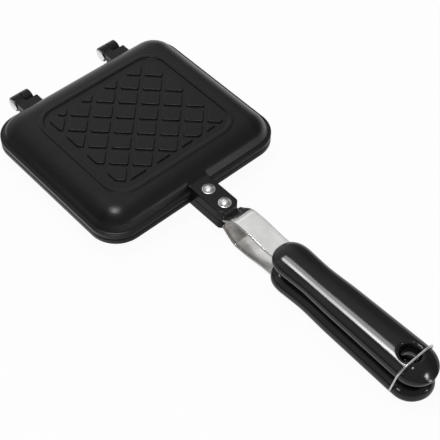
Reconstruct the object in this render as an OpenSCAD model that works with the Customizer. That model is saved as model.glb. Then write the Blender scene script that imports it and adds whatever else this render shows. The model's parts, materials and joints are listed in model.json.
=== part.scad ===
// Pie iron: two hinged cast pans with a pair of handles and a wire bail.
// The pans lie closed, X points along the handles, Z is up.
// Z = 0 is the face that the lower pan stands on, and X = Y = 0 is the pan's middle.

/* [Pans] */
// Width of each pan, across the handles
pan_w = 145; // [130:1:160]
// Depth of each pan, along the handles
pan_d = 130; // [120:1:145]
// Height of one pan from its rim to its flat outer panel
pan_h = 15.2; // [14.5:0.1:18]
// Radius of the pan's corners
corner_r = 20; // [20:0.5:26]
// Thickness of the cast floor
floor_t = 2.6; // [2:0.1:3.4]
// Width of the flat flange round the rim
flange_w = 3.4; // [2:0.1:4.5]
// Thickness of the flange
flange_h = 4; // [3:0.1:4.6]
// Width of the land where the two rims meet
land_w = 6.9; // [6:0.1:8]
// Distance from the pan's edge to the flat panel
shoulder_w = 18.3; // [17:0.1:19]
// Gap between the two closed rims
rim_gap = 0.3; // [0.2:0.05:0.6]

/* [Raised pattern] */
// Depth of the raised square line, outside
frame_d = 92.8; // [88:0.2:95]
// Width of the raised square line, outside
frame_w = 103.6; // [98:0.2:108]
// Width of the line itself
frame_line = 2.7; // [1.5:0.1:4]
// Height of the line over the panel
frame_h = 0.8; // [0.7:0.05:1.2]
// Outer corner radius of the line
frame_r = 16; // [8:0.5:20]
// Clear strip between the line and the pads
pad_margin = 6; // [1:0.1:8]
// Corner radius of the field of pads
field_r = 2.5; // [1:0.5:8]
// Pad spacing along one diagonal
pitch_a = 14.9; // [12:0.1:18]
// Pad spacing along the other diagonal
pitch_b = 13.6; // [12:0.1:18]
// Width of the strips between pads
pad_gap = 2.9; // [1.5:0.1:4]
// Rounding of the pad corners
pad_r = 1.1; // [0.4:0.1:2]
// Height of the pads over the panel
pad_h = 0.6; // [0.3:0.05:0.65]
// Shift of the line and the pads towards the handles
pad_shift = 1.1; // [-3:0.1:3]

/* [Hinges] */
// Distance of the hinge axis from the pan's edge
axis_out = 12; // [11:0.1:14]
// Distance between the middles of the two hinges
hinge_span = 74.9; // [60:0.1:84]
// Shift of both hinges along their axis
hinge_shift = 0.4; // [-2:0.1:2]
// Length of the two knuckles of a hinge together
barrel_l = 13.5; // [11:0.1:16]
// Outer radius of the knuckles
knuckle_r = 5.3; // [4.8:0.1:5.6]
// Diameter of the hinge pins
pin_d = 4.6; // [3.5:0.1:5]
// Radial clearance of the pin in the upper knuckle
pin_fit = 0.05; // [0.02:0.01:0.09]
// Diameter of the pin heads
pin_head_d = 8.2; // [7.4:0.1:8.8]
// Height of the pin heads
pin_head_h = 1.3; // [1:0.1:2]
// Gap between a pin's head and its knuckle
pin_head_gap = 0.2; // [0.15:0.05:0.4]
// Diameter of the pins' peened ends
peen_d = 7; // [6:0.1:7.4]
// Height of the pins' peened ends
peen_h = 1.1; // [0.8:0.1:1.6]
// Height of the arm that carries a knuckle
arm_h = 4.4; // [3.6:0.1:4.8]
// Width of the arm where it joins the pan
arm_w = 15.6; // [14.5:0.1:17]
// Gap between neighbouring knuckles
knuckle_gap = 0.3; // [0.2:0.05:0.5]
// Room round a knuckle in the other pan's arm
knuckle_room = 0.4; // [0.3:0.05:0.8]

/* [Ears] */
// Reach of the ears beyond the pan's edge
ear_reach = 27.6; // [26:0.1:32]
// Width of the ears
ear_w = 15.9; // [15:0.1:18]
// Height of each ear from the parting plane
ear_h = 7.9; // [7.5:0.1:8.4]
// Thickness of the top of the ear
ear_top = 4.2; // [3.6:0.1:4.4]
// Width of the channel inside the ear
channel_w = 12.4; // [11.6:0.1:12.8]
// Bevel of the ear's end corners
ear_bevel = 2.8; // [1:0.1:4]
// Distance of the first rivet from the pan's edge
rivet_first = 6.8; // [6.5:0.1:7.5]
// Distance between the two rivets
rivet_pitch = 15; // [13:0.1:15.4]
// Diameter of the rivet shanks
rivet_d = 4.5; // [4:0.1:5]
// Diameter of the rivet heads
rivet_head_d = 8.6; // [8:0.1:10]
// Height of the domed rivet heads
rivet_head_h = 1.9; // [1.2:0.1:2.4]
// Diameter of the flat rivet heads under the straps
rivet_tail_d = 6.9; // [6.2:0.1:7.6]
// Height of the flat rivet heads
rivet_tail_h = 0.9; // [0.6:0.05:1.1]
// Radial clearance of the rivets in their holes
rivet_fit = 0.05; // [0.02:0.01:0.09]

/* [Straps] */
// Width of the steel straps
strap_w = 16; // [14:0.1:16]
// Thickness of the steel straps
strap_t = 2; // [1.6:0.1:2]
// Width of the strap's tongue in the ear
tongue_w = 11.6; // [10:0.1:11.8]
// Height of the strap's crest over its tongue
strap_rise = 7.8; // [6.5:0.1:8.2]
// Drop from the crest to the grip
strap_drop = 1.9; // [1.2:0.1:2.4]
// Distance of the strap's crest from the pan's middle
crest_x = 112; // [109:0.5:115]
// Length of the strap's rise from the ear
rise_run = 15.5; // [14:0.1:17]
// Gap between the strap and the ear's roof
strap_fit = 0.1; // [0.05:0.05:0.2]
// Reach of the strap past the grip's screw
strap_past = 10; // [7:0.5:12]

/* [Grips] */
// Distance of the grips' front tips from the pan's middle
grip_start = 134.8; // [134:0.1:136]
// Distance of the grips' ends from the pan's middle
grip_end = 257.6; // [255:0.1:260]
// Gap between the flat faces of the two grips
grip_gap = 5.4; // [4.8:0.1:6]
// Half width of the grips near their end
grip_b = 13.8; // [12.8:0.1:14]
// Height of a grip's back over the parting plane
grip_h = 15.9; // [15.4:0.1:15.9]
// Height of the widest line of a grip over the parting plane
grip_mid = 8.5; // [8.3:0.1:8.7]
// Distance of the grips' waist from the pan's middle
waist_x = 167; // [163:0.5:172]
// Size of the grips at their waist, as a share of their largest
waist = 0.815; // [0.78:0.005:0.88]
// Length of the grips' rounded front
nose_l = 17; // [14:0.5:18]
// Length of the grips' rounded end
tail_l = 14.6; // [13:0.1:15]
// Clearance of the strap in its pocket
pocket_fit = 0.12; // [0.08:0.01:0.2]
// Distance of the hanging hole from the grip's end
hole_back = 19.1; // [18.5:0.1:20]
// Diameter of the hanging hole
hole_d = 12.5; // [10:0.1:13]
// Bevel at the mouth of the hanging hole
hole_bevel = 1.2; // [0.5:0.1:1.5]

/* [Grip screws] */
// Distance of the grip screws from the pan's middle
screw_x = 156; // [152:0.5:160]
// Diameter of the screw shanks
screw_d = 4; // [3.5:0.1:4.2]
// Diameter of the screw heads
screw_head_d = 7.4; // [6.8:0.1:8]
// Height of the screw heads
screw_head_h = 2.2; // [1.8:0.1:2.4]
// Depth of the screw heads under the grip's flat face
screw_sink = 0.6; // [0.3:0.1:1]
// Radial clearance of the screws in the grips
screw_fit = 0.05; // [0.02:0.01:0.1]
// Length of the screws from head to tip
screw_l = 6.5; // [5:0.1:7]

/* [Wire bail] */
// Diameter of the bail's wire
wire_d = 1.4; // [1.2:0.1:1.6]
// Distance of the bail's pivots from the grips' end
pivot_back = 16.6; // [16:0.1:17.5]
// Lean of the closed bail towards the end, at its top bar
bail_lean = 3.6; // [3:0.1:4.2]
// Radius of the bail's upper bends
bail_bend = 5; // [3:0.1:6]
// Depth of the bail's tips in the grip
tip_depth = 4.6; // [3:0.1:5]
// Radius of the bail's small bends at its pivots
tip_bend = 1.5; // [1.2:0.1:2]
// Clearance between the wire and the grips
wire_gap = 0.35; // [0.3:0.05:0.6]
// Radial clearance of the bail's tips in their holes
tip_fit = 0.05; // [0.02:0.01:0.09]

/* [Smoothness] */
// Segments of full circles
facets = 64; // [32:8:128]

/* [Hidden] */

black = [0.07, 0.07, 0.075];
steel = [0.80, 0.81, 0.82];

// Parting plane between the two pans
part_z = pan_h + frame_h;
// Hinge axis, half a pan and its reach behind the middle
axis_x = -pan_d / 2 - axis_out;
// Near ends of the two hinges' barrels
left_y = hinge_shift - hinge_span / 2 - barrel_l / 2;
right_y = hinge_shift + hinge_span / 2 - barrel_l / 2;
// Length of one knuckle
knuckle_l = (barrel_l - knuckle_gap) / 2;
// The arms start inside the pan's wall
arm_root = -pan_d / 2 + flange_w + 1.4;
ear_end = pan_d / 2 + ear_reach;
ear_root = pan_d / 2 - flange_w - 1.4;
rivet_x = [pan_d / 2 + rivet_first, pan_d / 2 + rivet_first + rivet_pitch];
// Underside of the ear's top, where the strap lies
roof_z = ear_h - ear_top;
// The strap's middle line in the ear
tongue_z = roof_z - strap_t / 2 - strap_fit;
tongue_start = pan_d / 2 + 1;
strap_end = screw_x + strap_past;
// The strap leaves the ear and begins to rise here
rise_x = ear_end - 1.1;
// The strap is straight again here, just before the grip
level_x = grip_start - 0.5;
strap_z = tongue_z + strap_rise - strap_drop;
// Places along the strap at which its bends are drawn
strap_x = [tongue_start, for (i = [0:14]) rise_x + i * (crest_x - rise_x) / 14,
  for (i = [1:8]) crest_x + i * (level_x - crest_x) / 8, strap_end];
// Height at which the screw heads seat in the grips
seat_z = grip_gap / 2 + screw_sink + screw_head_h;
hole_x = grip_end - hole_back;
pivot_x = grip_end - pivot_back;
// Height of the bail's top bar over the parting plane
bar_z = grip_h + wire_gap + wire_d / 2;
leg_y = grip_b + wire_gap + wire_d / 2;
tip_y = grip_b - tip_depth;
// A rounding edge for the pan's profile
edge_r = 0.9;
// Powers of the rounded shoulder outside and of the tray inside
plump = 2;
tray_plump = 2.4;

function signed_pow(v, p) = sign(v) * pow(abs(v), p);

// Quarter of a rounded profile: inset from w0 to w1, height from z0 to z1
function shoulder(w0, w1, z0, z1, p, steps) =
  [for (i = [0:steps])
    let (a = 90 * i / steps)
    [w1 - (w1 - w0) * pow(cos(a), 2 / p), z0 + (z1 - z0) * pow(sin(a), 2 / p)]];

// Smooth step from 0 to 1
function ease(t) = let (u = min(max(t, 0), 1)) u * u * (3 - 2 * u);

// Middle line of the strap over the parting plane
function strap_line(x) =
  let (up = (x - rise_x) / rise_run)
  tongue_z + strap_rise * ease(pow(max(up, 0), 0.8))
    - strap_drop * ease((x - crest_x) / (level_x - crest_x));
function strap_slope(x) = (strap_line(x + 0.05) - strap_line(x - 0.05)) / 0.1;
function strap_side(x, h) =
  let (m = strap_slope(x), n = sqrt(1 + m * m))
  [x - h * m / n, strap_line(x) + h / n];

// Share of its full size that a grip has at x, least at its waist
function body(x) = x < waist_x
  ? waist + 0.08 * pow((waist_x - x) / 21, 1.3)
  : min(1, waist + (1 - waist) * (0.22 * ease((x - waist_x) / 23) + 0.78 * (x - waist_x) / 71));
function nose(x) =
  sqrt(max(0, 1 - pow(max(0, grip_start + nose_l - x) / (nose_l + 0.2), 2.6)));
function tail(x) = sqrt(max(0, 1 - pow(max(0, x - grip_end + tail_l) / (tail_l + 0.3), 2.2)));

// Outline of a grip's section at x
function section(x) =
  let (s = body(x), n = nose(x), t = tail(x),
    b = grip_b * pow(s, 0.85) * n * t,
    top = (grip_h - grip_mid) * pow(s, 1.15) * n * pow(t, 2.3),
    low = (grip_mid - 1.2) * pow(s, 0.6) * pow(n * t, 0.6))
  [for (i = [0:31])
    let (a = 360 * i / 32, z = signed_pow(sin(a), 2 / 2.25))
    [b * signed_pow(cos(a), 2 / 2.25), grip_mid + (z > 0 ? top : low) * z]];

module rounded_plate(d, w, r, h) {
  linear_extrude(h) {
    square([d - 2 * r, w], center = true);
    square([d, w - 2 * r], center = true);
    for (x = [-1, 1], y = [-1, 1])
      translate([x * (d / 2 - r), y * (w / 2 - r)])
        circle(r, $fn = facets);
  }
}

// A rounded square solid, its sides shaped by a profile of inset and height
module dome(profile, base) {
  hull()
    for (x = [-1, 1], y = [-1, 1])
      translate([x * (pan_d / 2 - corner_r), y * (pan_w / 2 - corner_r), 0])
        rotate_extrude($fn = 40)
          polygon(concat([[0, base]],
            [for (p = profile) [corner_r - p[0], p[1]]],
            [[0, profile[len(profile) - 1][1]]]));
}

module flange() {
  dome([[0, rim_gap / 2], [0, flange_h - edge_r],
      for (a = [30, 60, 90]) [edge_r * (1 - cos(a)), flange_h - edge_r * (1 - sin(a))]],
    rim_gap / 2);
}

// The raised square line and the pads inside it
module pattern() {
  difference() {
    rounded_plate(frame_d, frame_w, frame_r, frame_h + 0.5);
    translate([0, 0, -1])
      rounded_plate(frame_d - 2 * frame_line, frame_w - 2 * frame_line,
        frame_r - frame_line, frame_h + 3);
  }
  inner_d = frame_d - 2 * frame_line - 2 * pad_margin;
  inner_w = frame_w - 2 * frame_line - 2 * pad_margin;
  pads_a = ceil((inner_d + inner_w) / 2.8 / pitch_a);
  pads_b = ceil((inner_d + inner_w) / 2.8 / pitch_b);
  intersection() {
    rounded_plate(inner_d, inner_w, field_r, pad_h + 0.5);
    rotate(45)
      linear_extrude(pad_h + 0.5)
        for (i = [-pads_a:pads_a - 1], j = [-pads_b:pads_b - 1])
          let (a = (i + 0.5) * pitch_a, b = (j + 0.5) * pitch_b)
            if (abs(a - b) * sqrt(0.5) < inner_d / 2 + 6 && abs(a + b) * sqrt(0.5) < inner_w / 2 + 6)
              translate([a, b])
                pad_outline(pitch_a - pad_gap, pitch_b - pad_gap);
  }
}

module pad_outline(a, b) {
  polygon([for (k = [0:3], t = [0, 45, 90])
    [(k == 0 || k == 3 ? 1 : -1) * (a / 2 - pad_r) + pad_r * cos(90 * k + t),
      (k < 2 ? 1 : -1) * (b / 2 - pad_r) + pad_r * sin(90 * k + t)]]);
}

// The ear in which a strap is riveted, a channel open towards the other pan
module ear() {
  difference() {
    translate([0, 0, rim_gap / 2])
      linear_extrude(ear_h - rim_gap / 2)
        polygon([[ear_root, -ear_w / 2], [ear_end - ear_bevel, -ear_w / 2],
          [ear_end, -ear_w / 2 + ear_bevel], [ear_end, ear_w / 2 - ear_bevel],
          [ear_end - ear_bevel, ear_w / 2], [ear_root, ear_w / 2]]);
    translate([pan_d / 2 + 0.5, -channel_w / 2, -1])
      cube([ear_reach + 5, channel_w, roof_z + 1]);
    for (x = rivet_x)
      translate([x, 0, -1])
        cylinder(d = rivet_d + 2 * rivet_fit, h = ear_h + 4, $fn = 48);
  }
}

// One cast pan above the parting plane, without its knuckles
module pan_shell() {
  difference() {
    union() {
      flange();
      dome(concat([[flange_w, 1]], shoulder(flange_w, shoulder_w, flange_h, pan_h, plump, 10)), 1);
      translate([pad_shift, 0, pan_h - 0.5])
        pattern();
      ear();
    }
    // The tray
    dome(concat([[land_w, -1]],
        shoulder(land_w, shoulder_w + 0.6, 0, pan_h - floor_t, tray_plump, 8)), -1);
  }
}

// An arm with its knuckle from y0 to y1, clear of the other knuckle
module hinge_lug(y, y0, y1, other0, other1) {
  difference() {
    union() {
      translate([axis_x, y + y0, 0])
        rotate([-90, 0, 0])
          cylinder(r = knuckle_r, h = y1 - y0, $fn = facets);
      translate([axis_x, y + y0, rim_gap / 2])
        cube([arm_root - axis_x, y1 - y0, arm_h - rim_gap / 2]);
      translate([axis_x + knuckle_r, y, rim_gap / 2])
        cube([arm_root - axis_x - knuckle_r, arm_w, arm_h - rim_gap / 2]);
    }
    translate([axis_x, y + other0, 0])
      rotate([-90, 0, 0])
        cylinder(r = knuckle_r + knuckle_room, h = other1 - other0, $fn = facets);
  }
}

module pin_bore(y, fit) {
  translate([axis_x, y - 1, 0])
    rotate([-90, 0, 0])
      cylinder(r = pin_d / 2 + fit, h = barrel_l + 4, $fn = 48);
}

module upper_pan() {
  color(black)
    translate([0, 0, part_z])
      difference() {
        union() {
          pan_shell();
          for (y = [left_y, right_y])
            hinge_lug(y, 0, knuckle_l, knuckle_l, arm_w + 1);
        }
        for (y = [left_y, right_y])
          pin_bore(y, pin_fit);
      }
}

module lower_pan() {
  color(black)
    translate([0, 0, part_z])
      mirror([0, 0, 1])
        difference() {
          union() {
            pan_shell();
            for (y = [left_y, right_y])
              hinge_lug(y, knuckle_l + knuckle_gap, barrel_l, -1, knuckle_l + knuckle_gap);
          }
          for (y = [left_y, right_y])
            pin_bore(y, 0.01);
        }
}

// A pin with a domed head at its near end and a flat peened one at its far end
module hinge_pin(y) {
  color(steel)
    translate([axis_x, y, part_z])
      rotate([-90, 0, 0])
        rotate_extrude($fn = 48)
          polygon(concat([[0, -pin_head_gap - pin_head_h]],
            [for (a = [15:15:90])
              [pin_head_d / 2 * sin(a), -pin_head_gap - pin_head_h * (0.4 + 0.6 * cos(a))]],
            [[pin_head_d / 2, -pin_head_gap], [pin_d / 2, -pin_head_gap],
              [pin_d / 2, barrel_l], [peen_d / 2, barrel_l],
              [peen_d / 2, barrel_l + peen_h / 2], [pin_d / 2, barrel_l + peen_h],
              [0, barrel_l + peen_h]]));
}

module hinge_pin_left() { hinge_pin(left_y); }
module hinge_pin_right() { hinge_pin(right_y); }

// A strap above the parting plane
module strap() {
  difference() {
    intersection() {
      rotate([90, 0, 0])
        linear_extrude(strap_w + 2, center = true)
          polygon(concat(
            [for (i = [0:len(strap_x) - 1]) strap_side(strap_x[i], strap_t / 2)],
            [for (i = [len(strap_x) - 1:-1:0]) strap_side(strap_x[i], -strap_t / 2)]));
      translate([0, 0, -1])
        linear_extrude(22)
          polygon([[tongue_start - 1, -tongue_w / 2], [ear_end + 0.3, -tongue_w / 2],
            [ear_end + 1, -strap_w / 2], [strap_end + 1, -strap_w / 2],
            [strap_end + 1, strap_w / 2], [ear_end + 1, strap_w / 2],
            [ear_end + 0.3, tongue_w / 2], [tongue_start - 1, tongue_w / 2]]);
    }
    for (x = rivet_x)
      translate([x, 0, -1])
        cylinder(d = rivet_d + 2 * rivet_fit, h = ear_h + 4, $fn = 48);
    translate([screw_x, 0, 1])
      cylinder(d = screw_d + 0.4, h = 16, $fn = 48);
  }
}

module upper_strap() {
  color(steel)
    translate([0, 0, part_z])
      strap();
}

module lower_strap() {
  color(steel)
    translate([0, 0, part_z])
      mirror([0, 0, 1])
        strap();
}

// A rivet with a domed head on the ear and a flat one under the strap
module rivet(x) {
  dome_r = (rivet_head_d * rivet_head_d / 4 + rivet_head_h * rivet_head_h) / (2 * rivet_head_h);
  under = roof_z - strap_t - strap_fit - 0.05;
  translate([x, 0, 0])
    rotate_extrude($fn = 64)
      polygon(concat(
        [[0, under - rivet_tail_h], [rivet_tail_d / 2 - 0.6, under - rivet_tail_h],
          [rivet_tail_d / 2, under - rivet_tail_h / 2], [rivet_tail_d / 2, under],
          [rivet_d / 2, under], [rivet_d / 2, ear_h], [rivet_head_d / 2, ear_h]],
        [for (i = [1:7])
          let (r = rivet_head_d / 2 * (1 - i / 8))
          [r, ear_h + rivet_head_h - dome_r + sqrt(dome_r * dome_r - r * r)]],
        [[0, ear_h + rivet_head_h]]));
}

module upper_rivet(x) {
  color(steel)
    translate([0, 0, part_z])
      rivet(x);
}

module lower_rivet(x) {
  color(steel)
    translate([0, 0, part_z])
      mirror([0, 0, 1])
        rivet(x);
}

module upper_front_rivet() { upper_rivet(rivet_x[0]); }
module upper_rear_rivet() { upper_rivet(rivet_x[1]); }
module lower_front_rivet() { lower_rivet(rivet_x[0]); }
module lower_rear_rivet() { lower_rivet(rivet_x[1]); }

module slice(x) {
  translate([x, 0, 0])
    rotate([90, 0, 90])
      linear_extrude(0.02)
        polygon(section(x));
}

module hulled_slices(stations) {
  hull()
    for (x = stations)
      slice(x);
}

// A grip above the parting plane, its hull spans meeting at the waist
module grip() {
  difference() {
    intersection() {
      union() {
        hulled_slices([for (d = [0, 0.03, 0.09, 0.18, 0.32, 0.5, 0.7]) grip_start + d * nose_l,
          waist_x - 17]);
        hulled_slices([waist_x - 17, waist_x - 8]);
        hulled_slices([waist_x - 8, waist_x]);
        hulled_slices([waist_x, waist_x + 7]);
        hulled_slices([waist_x + 7, waist_x + 17]);
        hulled_slices([waist_x + 17, waist_x + 33]);
        hulled_slices([waist_x + 33, waist_x + 55,
          for (d = [1, 0.73, 0.49, 0.29, 0.14, 0.05]) grip_end - d * tail_l, grip_end - 0.02]);
      }
      translate([grip_start - 5, -2 * grip_b, grip_gap / 2])
        cube([grip_end - grip_start + 10, 4 * grip_b, 2 * grip_h]);
    }
    // Pocket of the strap
    translate([grip_start - 5, -strap_w / 2 - pocket_fit, strap_z - strap_t / 2 - pocket_fit])
      cube([strap_end + 0.4 - grip_start + 5, strap_w + 2 * pocket_fit,
        strap_t + 2 * pocket_fit]);
    // Seat and hole of the screw
    translate([screw_x, 0, 0])
      cylinder(d = screw_head_d + 0.6, h = seat_z, $fn = 48);
    translate([screw_x, 0, 0])
      cylinder(r = screw_d / 2 + screw_fit, h = seat_z + screw_l + 0.3, $fn = 48);
    // Hanging hole
    translate([hole_x, 0, 0])
      cylinder(d = hole_d, h = grip_h + 5, $fn = facets);
    translate([hole_x, 0, grip_h - hole_bevel])
      cylinder(d1 = hole_d, d2 = hole_d + 2 * hole_bevel + 1, h = hole_bevel + 0.5, $fn = facets);
  }
}

module upper_grip() {
  color(black)
    translate([0, 0, part_z])
      grip();
}

module lower_grip() {
  color(black)
    translate([0, 0, part_z])
      mirror([0, 0, 1])
        difference() {
          grip();
          // Pivot holes of the bail
          for (s = [-1, 1])
            translate([pivot_x, s * (tip_y - 0.3), grip_mid])
              rotate([-90 * s, 0, 0])
                cylinder(r = wire_d / 2 + tip_fit, h = grip_b, $fn = 32);
        }
}

// A screw from the flat face of a grip through its strap
module grip_screw() {
  translate([screw_x, 0, 0])
    difference() {
      rotate_extrude($fn = 48)
        polygon([[0, seat_z - screw_head_h], [screw_head_d / 2 - 0.9, seat_z - screw_head_h],
          [screw_head_d / 2, seat_z - screw_head_h + 0.9], [screw_head_d / 2, seat_z],
          [screw_d / 2, seat_z], [screw_d / 2, seat_z + screw_l - 1],
          [screw_d / 2 - 1, seat_z + screw_l], [0, seat_z + screw_l]]);
      // Cross slot in the head
      for (a = [0, 90])
        rotate(a)
          translate([-screw_head_d / 2 + 1.6, -0.4, 0])
            cube([screw_head_d - 3.2, 0.8, seat_z - screw_head_h + 1.2]);
    }
}

module upper_grip_screw() {
  color(steel)
    translate([0, 0, part_z])
      grip_screw();
}

module lower_grip_screw() {
  color(steel)
    translate([0, 0, part_z])
      mirror([0, 0, 1])
        grip_screw();
}

// The bail stands over both grips, its tips in the lower one
module wire_bail() {
  rise = bar_z + grip_mid;
  reach = sqrt(rise * rise + bail_lean * bail_lean);
  lean = atan(bail_lean / rise);
  color(steel)
    translate([pivot_x, 0, part_z - grip_mid])
      rotate([0, lean, 0]) {
        // Top bar
        translate([0, -leg_y + bail_bend, reach])
          rotate([-90, 0, 0])
            cylinder(d = wire_d, h = 2 * (leg_y - bail_bend), $fn = 24);
        for (s = [-1, 1])
          mirror([0, s < 0 ? 1 : 0, 0]) {
            // Upper bend
            translate([0, leg_y - bail_bend, reach - bail_bend])
              rotate([0, -90, 0])
                rotate_extrude(angle = 90, $fn = 72)
                  translate([bail_bend, 0])
                    circle(d = wire_d, $fn = 24);
            // Leg
            translate([0, leg_y, tip_bend])
              cylinder(d = wire_d, h = reach - bail_bend - tip_bend, $fn = 24);
            // Lower bend
            translate([0, leg_y - tip_bend, tip_bend])
              rotate([0, 90, 0])
                rotate_extrude(angle = 90, $fn = 72)
                  translate([tip_bend, 0])
                    circle(d = wire_d, $fn = 24);
            // Tip in the grip
            translate([0, tip_y, 0])
              rotate([-90, 0, 0])
                cylinder(d = wire_d, h = leg_y - tip_bend - tip_y, $fn = 24);
          }
      }
}

lower_pan();
upper_pan();
hinge_pin_left();
hinge_pin_right();
lower_strap();
upper_strap();
lower_front_rivet();
lower_rear_rivet();
upper_front_rivet();
upper_rear_rivet();
lower_grip();
upper_grip();
lower_grip_screw();
upper_grip_screw();
wire_bail();
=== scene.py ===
"""A pie iron dressed over its CAD frame.

It has two hinged cast pans, riveted straps, glossy grips and a wire bail.
"""

import json
from math import (asin, atan, atan2, copysign, cos, degrees, dist, hypot, pi, radians, sin, sqrt,
                  tan)

import bmesh
import bpy
from bpy.props import FloatProperty, FloatVectorProperty, PointerProperty
from bpy.types import Operator, Panel, PropertyGroup
from mathutils import Matrix, Vector


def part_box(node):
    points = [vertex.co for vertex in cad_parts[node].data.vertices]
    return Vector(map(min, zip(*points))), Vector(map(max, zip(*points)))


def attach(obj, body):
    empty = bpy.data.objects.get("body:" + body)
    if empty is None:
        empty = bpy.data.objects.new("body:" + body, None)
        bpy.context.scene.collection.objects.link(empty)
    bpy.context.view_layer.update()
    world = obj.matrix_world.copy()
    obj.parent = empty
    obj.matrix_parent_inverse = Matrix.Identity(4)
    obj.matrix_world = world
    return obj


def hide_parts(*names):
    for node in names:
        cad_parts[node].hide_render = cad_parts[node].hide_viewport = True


bl_info = {
    "name": "Pie iron",
    "version": (1, 0, 0),
    "blender": (4, 5, 0),
    "location": "3D View > Sidebar > Pie iron",
    "description": "Builds the visible pieces of a hinged pie iron over its CAD frame",
    "category": "Object",
}

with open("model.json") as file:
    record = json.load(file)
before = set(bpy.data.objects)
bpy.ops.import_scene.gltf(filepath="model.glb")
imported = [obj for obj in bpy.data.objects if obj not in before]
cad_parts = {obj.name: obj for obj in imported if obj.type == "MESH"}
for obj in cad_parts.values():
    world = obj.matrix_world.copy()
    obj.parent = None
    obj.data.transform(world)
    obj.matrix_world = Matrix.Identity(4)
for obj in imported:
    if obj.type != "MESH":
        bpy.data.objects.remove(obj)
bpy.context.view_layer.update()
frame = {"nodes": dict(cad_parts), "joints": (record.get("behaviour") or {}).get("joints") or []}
MM = 0.001

# ---------------- places taken from the CAD frame


def node_box(node):
    """Lowest and highest corner of a CAD node, in millimetres."""
    low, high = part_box(node)
    return low / MM, high / MM


def joint_at(name):
    """Place of a joint, in millimetres."""
    return next(Vector(j["pos_m"]) / MM for j in frame["joints"] if j["name"] == name)


HINGE = joint_at("lid_hinge")
PIVOT = joint_at("bail_pivot")
PARTING = HINGE.z
EAR_END = node_box("upper_pan")[1].x
STRAP_LOW, STRAP_HIGH = node_box("upper_strap")

# The two halves, and whether each is turned over under the parting plane
HALVES = (("upper", False), ("lower", True))
# Half the gap between the closed rims, and the gap between a pin's head and its knuckle
RIM_GAP = 0.15
PIN_GAP = 0.2
# Smallest radius at the tip of a turned piece
TIP = 0.0001
# Points nearer than this are one point, and shorter edges are none, in metres
WELD, SHORTEST_EDGE = 2e-7, 1e-7
# The corners of a rectangle, in order round it
CORNERS = ((1, 1), (-1, 1), (-1, -1), (1, -1))

# ---------------- sizes and colours a user may change


def length(name, description, default):
    """A length in metres, typed in millimetres."""
    return FloatProperty(name=name, description=description, default=default * MM,
                         unit="LENGTH", subtype="DISTANCE", precision=5)


def share(name, description, default, low=0.0, high=1.0):
    """A plain number within limits."""
    return FloatProperty(name=name, description=description, default=default, min=low, max=high)


def watts(name, description, default):
    """The power of a lamp."""
    return FloatProperty(name=name, description=description, default=default, min=0,
                         unit="POWER")


def paint(name, description, default):
    """A colour."""
    return FloatVectorProperty(name=name, description=description, default=default, size=3,
                               subtype="COLOR", min=0.0, max=1.0)


class PieIronPans(PropertyGroup):
    """Sizes of the two cast pans."""

    depth: length("Depth", "Depth of each pan along the handles", 130)
    width: length("Width", "Width of each pan across the handles", 145)
    corner: length("Corner radius", "Radius of the pan's corners", 20)
    panel_height: length("Panel height", "Height of the outer panel over the parting plane", 15.2)
    floor: length("Floor", "Thickness of the cast floor", 2.6)
    flange_width: length("Flange width", "Width of the flat flange", 3.4)
    flange_height: length("Flange height", "Thickness of the flange", 4)
    land: length("Land", "Width of the land where the rims meet", 6.9)
    shoulder: length("Shoulder", "Distance from the pan's edge to the flat panel", 18.3)
    plump: share("Fullness", "Power of the rounded shoulder outside", 2.0, 1.6, 4.0)
    tray_plump: share("Tray fullness", "Power of the rounded tray inside", 2.4, 1.6, 4.0)
    steepest: FloatProperty(name="Steepest", description="Steepest slope of the shoulder",
                            default=radians(63.0), unit="ROTATION", subtype="ANGLE")
    fillet: length("Fillet", "Radius at the root of the shoulder", 1.5)
    edge: length("Edge rounding", "Rounding of the flange's edge", 0.6)
    line_depth: length("Line depth", "Depth of the raised square line, outside", 92.8)
    line_width: length("Line width", "Width of the raised square line, outside", 103.6)
    line_band: length("Line band", "Width of the line itself", 2.7)
    line_height: length("Line height", "Height of the raised line", 0.8)
    line_corner: length("Line corner", "Outer corner radius of the line", 16)
    recess: length("Recess", "Depth of the field inside the line", 0.35)
    pad_margin: length("Pad margin", "Clear strip between the line and the pads", 6)
    field_corner: length("Field corner", "Corner radius of the field of pads", 2.5)
    pad_pitch_a: length("Pad spacing A", "Pad spacing along one diagonal", 14.9)
    pad_pitch_b: length("Pad spacing B", "Pad spacing along the other diagonal", 13.6)
    pad_gap: length("Pad gap", "Width of the strips between pads", 2.9)
    pad_height: length("Pad height", "Height of the pads over the panel", 0.7)
    pad_shift: length("Pad shift", "Shift of the line and the pads towards the handles", 1.1)
    ear_width: length("Ear width", "Width of the ears that hold the straps", 15.9)
    ear_height: length("Ear height", "Height of an ear from the parting plane", 7.9)
    ear_roof: length("Ear roof", "Height of the roof over the strap's channel", 3.7)
    channel: length("Channel", "Width of the channel in the ear", 12.4)
    ear_bevel: length("Ear bevel", "Bevel of the ear's end corners", 2.8)


class PieIronHinges(PropertyGroup):
    """Sizes of the hinges and their pins."""

    knuckle: length("Knuckle", "Outer radius of the knuckles", 5.3)
    barrel: length("Barrel", "Length of the two knuckles of a hinge together", 13.5)
    gap: length("Knuckle gap", "Gap between neighbouring knuckles", 0.3)
    arm_height: length("Arm height", "Height of the arm that carries a knuckle", 4.4)
    arm_width: length("Arm width", "Width of the arm where it joins the pan", 15.6)
    pin: length("Pin", "Diameter of the hinge pins", 4.6)
    head: length("Pin head", "Diameter of the pin heads", 8.2)
    head_height: length("Pin head height", "Height of the pin heads", 1.3)
    peen: length("Peen", "Diameter of the peened ends", 7)
    peen_height: length("Peen height", "Height of the peened ends", 1.1)


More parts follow.
